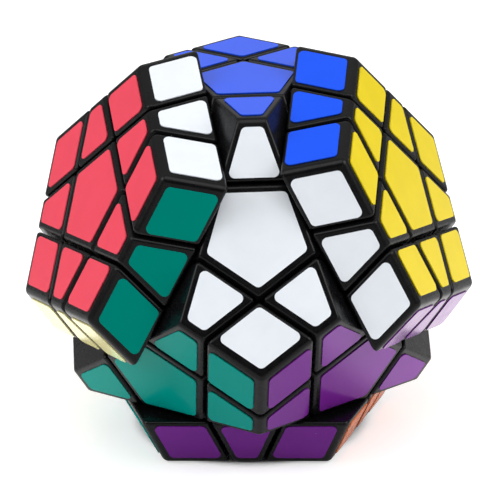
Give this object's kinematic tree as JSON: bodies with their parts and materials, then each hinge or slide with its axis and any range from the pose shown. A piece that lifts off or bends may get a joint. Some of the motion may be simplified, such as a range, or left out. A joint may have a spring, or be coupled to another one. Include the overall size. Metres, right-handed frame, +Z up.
{
  "type": "dodecahedron twisty puzzle",
  "caption": "Dodecahedron twisty puzzle with turning layers of stickered centre, edge and corner pieces on a sprung core.",
  "frame": {"origin": "centre of the twelve-armed core, where every turning axis crosses", "axes": "+Z up through the blue face, square to the surface it stands on; the white face looks towards -Y and tips upwards; +X to the right when the white face is in front"},
  "size_m": [0.0822, 0.082, 0.0716],
  "materials": {
    "black_shell": "semi-gloss moulded ABS",
    "core_plastic": "as-moulded ABS",
    "inner_plastic": "as-moulded ABS",
    "screw_steel": "zinc-plated steel",
    "spring_steel": "zinc-plated steel",
    "sticker_blue": "satin vinyl film",
    "sticker_cream": "satin vinyl film",
    "sticker_gray": "satin vinyl film",
    "sticker_green": "satin vinyl film",
    "sticker_light_blue": "satin vinyl film",
    "sticker_light_green": "satin vinyl film",
    "sticker_orange": "satin vinyl film",
    "sticker_pink": "satin vinyl film",
    "sticker_purple": "satin vinyl film",
    "sticker_red": "satin vinyl film",
    "sticker_white": "satin vinyl film",
    "sticker_yellow": "satin vinyl film",
    "washer_steel": "zinc-plated steel"
  },
  "bodies": {
    "bottom_layer": {"bottom_layer_centre_bodies": "inner_plastic", "bottom_layer_centre_caps": "black_shell", "bottom_layer_corner_feet": "inner_plastic", "bottom_layer_corner_shells": "black_shell", "bottom_layer_cream_stickers": "sticker_cream", "bottom_layer_edge_feet": "inner_plastic", "bottom_layer_edge_shells": "black_shell", "bottom_layer_gray_stickers": "sticker_gray", "bottom_layer_green_stickers": "sticker_green", "bottom_layer_light_blue_stickers": "sticker_light_blue", "bottom_layer_orange_stickers": "sticker_orange", "bottom_layer_purple_stickers": "sticker_purple"},
    "main_body": {"centre_screws": "screw_steel", "centre_springs": "spring_steel", "core_lower_half": "core_plastic", "core_upper_half": "core_plastic", "main_body_blue_stickers": "sticker_blue", "main_body_centre_bodies": "inner_plastic", "main_body_centre_caps": "black_shell", "main_body_corner_feet": "inner_plastic", "main_body_corner_shells": "black_shell", "main_body_cream_stickers": "sticker_cream", "main_body_edge_feet": "inner_plastic", "main_body_edge_shells": "black_shell", "main_body_gray_stickers": "sticker_gray", "main_body_green_stickers": "sticker_green", "main_body_light_green_stickers": "sticker_light_green", "main_body_orange_stickers": "sticker_orange", "main_body_pink_stickers": "sticker_pink", "main_body_purple_stickers": "sticker_purple", "main_body_white_stickers": "sticker_white", "spring_washers": "washer_steel"},
    "red_layer": {"red_layer_blue_stickers": "sticker_blue", "red_layer_centre_bodies": "inner_plastic", "red_layer_centre_caps": "black_shell", "red_layer_corner_feet": "inner_plastic", "red_layer_corner_shells": "black_shell", "red_layer_cream_stickers": "sticker_cream", "red_layer_edge_feet": "inner_plastic", "red_layer_edge_shells": "black_shell", "red_layer_green_stickers": "sticker_green", "red_layer_pink_stickers": "sticker_pink", "red_layer_red_stickers": "sticker_red", "red_layer_white_stickers": "sticker_white"},
    "yellow_layer": {"yellow_layer_blue_stickers": "sticker_blue", "yellow_layer_centre_bodies": "inner_plastic", "yellow_layer_centre_caps": "black_shell", "yellow_layer_corner_feet": "inner_plastic", "yellow_layer_corner_shells": "black_shell", "yellow_layer_edge_feet": "inner_plastic", "yellow_layer_edge_shells": "black_shell", "yellow_layer_light_green_stickers": "sticker_light_green", "yellow_layer_orange_stickers": "sticker_orange", "yellow_layer_purple_stickers": "sticker_purple", "yellow_layer_white_stickers": "sticker_white", "yellow_layer_yellow_stickers": "sticker_yellow"}
  },
  "joints": [
    {"name": "red_layer_turn", "type": "hinge", "parent": "main_body", "child": "red_layer", "pos_m": [0, 0, 0], "axis": [-0.8507, -0.2764, 0.4472], "continuous": true},
    {"name": "yellow_layer_turn", "type": "hinge", "parent": "main_body", "child": "yellow_layer", "pos_m": [0, 0, 0], "axis": [0.8507, -0.2764, 0.4472], "continuous": true},
    {"name": "bottom_layer_turn", "type": "hinge", "parent": "main_body", "child": "bottom_layer", "pos_m": [0, 0, 0], "axis": [0, 0, -1], "continuous": true}
  ]
}
